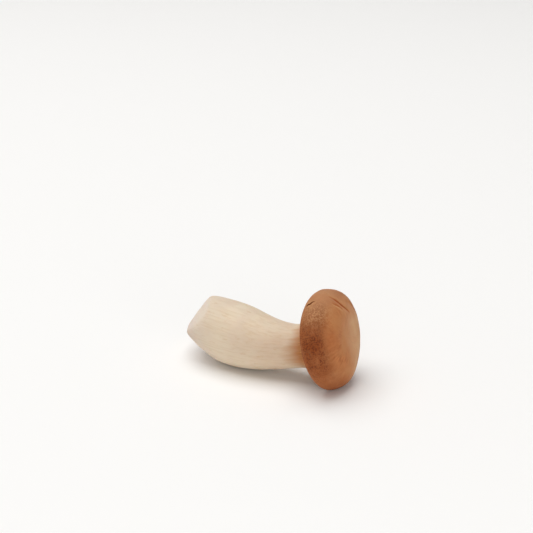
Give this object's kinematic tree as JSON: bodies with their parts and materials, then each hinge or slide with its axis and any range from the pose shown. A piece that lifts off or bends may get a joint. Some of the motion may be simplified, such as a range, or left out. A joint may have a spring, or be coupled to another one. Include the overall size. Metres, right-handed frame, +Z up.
{
  "type": "king oyster mushroom",
  "caption": "Whole king oyster mushroom lying on its side: thick pale bulbous stem trimmed at the foot, gills running down the neck, and a brown cap with a rolled-in rim.",
  "frame": {"origin": "on the surface that the mushroom lies on, under the middle of its bounding box", "axes": "+X along the mushroom's length, from the foot to the cap; +Z up from the surface that it lies on"},
  "size_m": [0.1082, 0.052, 0.0548],
  "materials": {
    "flesh": "matte",
    "cap_skin": "satin",
    "gills": "matte"
  },
  "bodies": {
    "root": {"mushroom": "flesh"}
  },
  "joints": []
}
